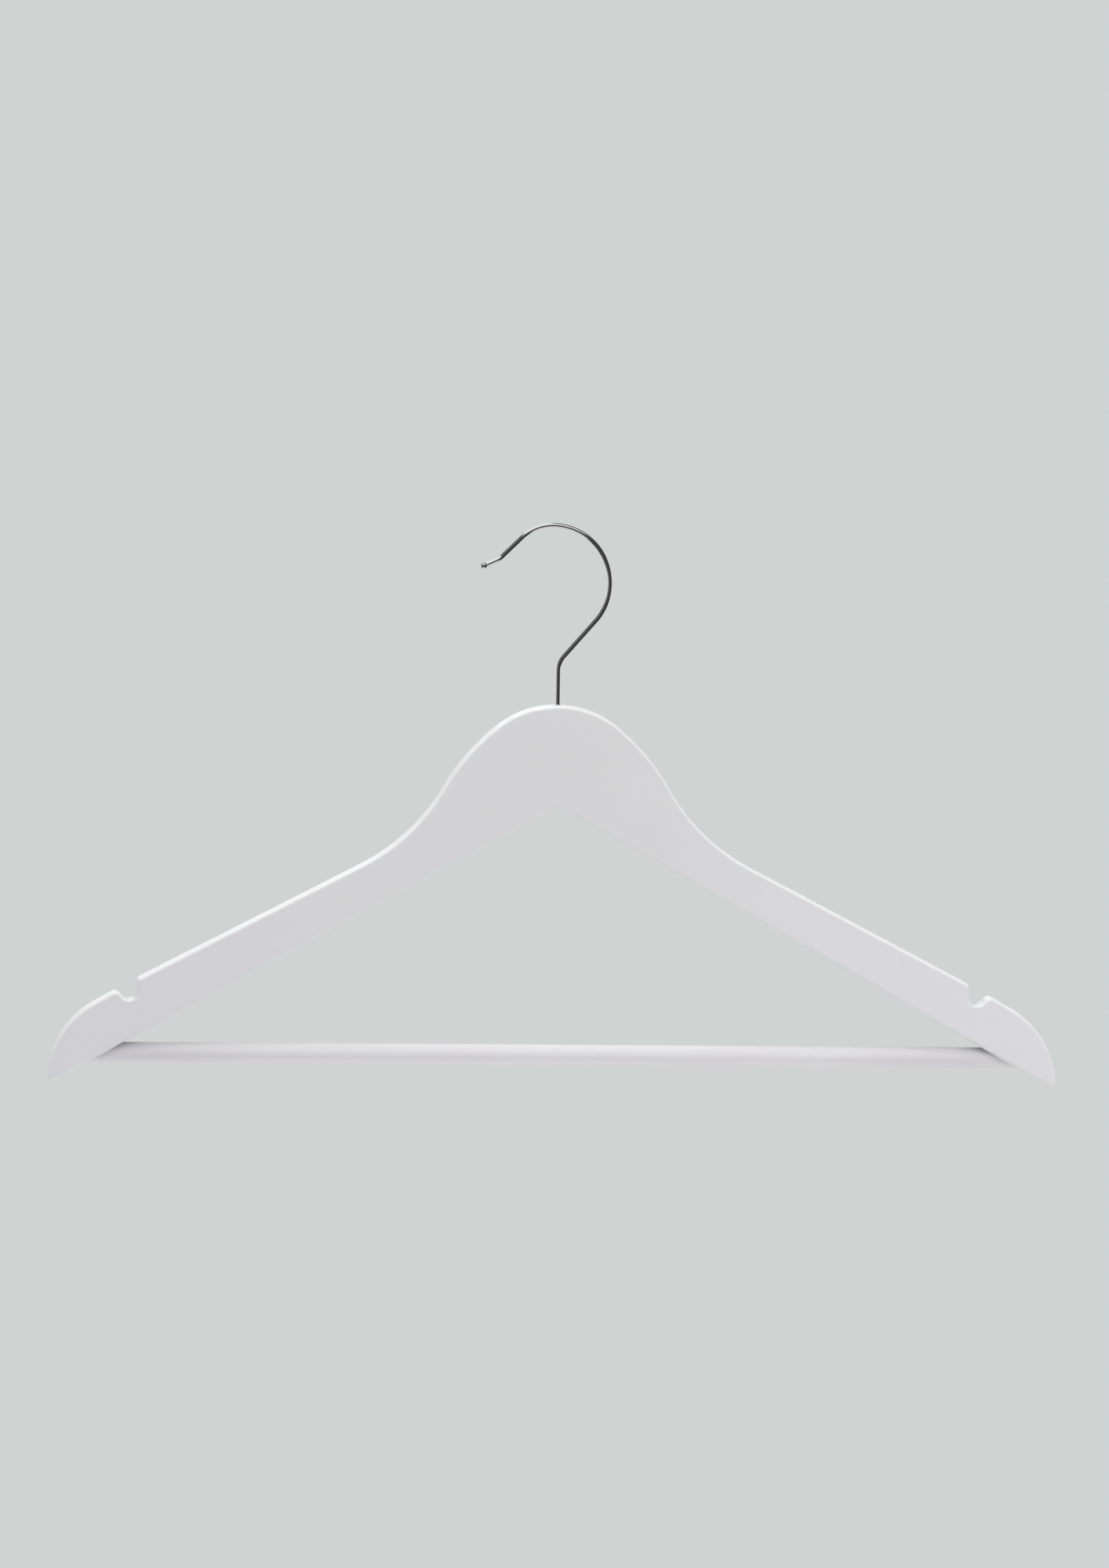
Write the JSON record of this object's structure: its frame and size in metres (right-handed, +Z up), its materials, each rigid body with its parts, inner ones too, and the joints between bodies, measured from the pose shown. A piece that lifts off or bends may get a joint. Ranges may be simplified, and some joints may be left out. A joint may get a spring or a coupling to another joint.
{
  "type": "clothes hanger",
  "caption": "White painted wooden clothes hanger with a swivelling chromed wire hook, shoulder strap notches and a round trouser bar.",
  "frame": {"origin": "the point the hanger hangs from: on the hook's vertical swivel axis, at the inside of the hook's loop, half-way through the thickness of the wood", "axes": "+Z up along the swivel axis, +X to the right when seen from the front, +Y out of the back face; the front faces -Y and the hook opens towards -X"},
  "size_m": [0.446, 0.012, 0.2477],
  "materials": {
    "painted_wood": "satin white lacquer over smooth wood",
    "painted_dowel": "satin white lacquer over a turned dowel, faint grain showing",
    "chromed_wire": "bright chrome plate on drawn wire",
    "bush_brass": "plain turned brass",
    "plain_steel": "plain steel"
  },
  "bodies": {
    "swivel_hook": {"hook": "chromed_wire", "thrust_washer": "plain_steel"},
    "wooden_frame": {"left_arm": "painted_wood", "right_arm": "painted_wood", "trouser_bar": "painted_dowel", "swivel_bush": "bush_brass", "left_bar_brad": "plain_steel", "right_bar_brad": "plain_steel"}
  },
  "joints": [
    {"name": "hook_swivel", "type": "hinge", "parent": "swivel_hook", "child": "wooden_frame", "pos_m": [0, 0, 0], "axis": [0, 0, 1], "continuous": true}
  ]
}
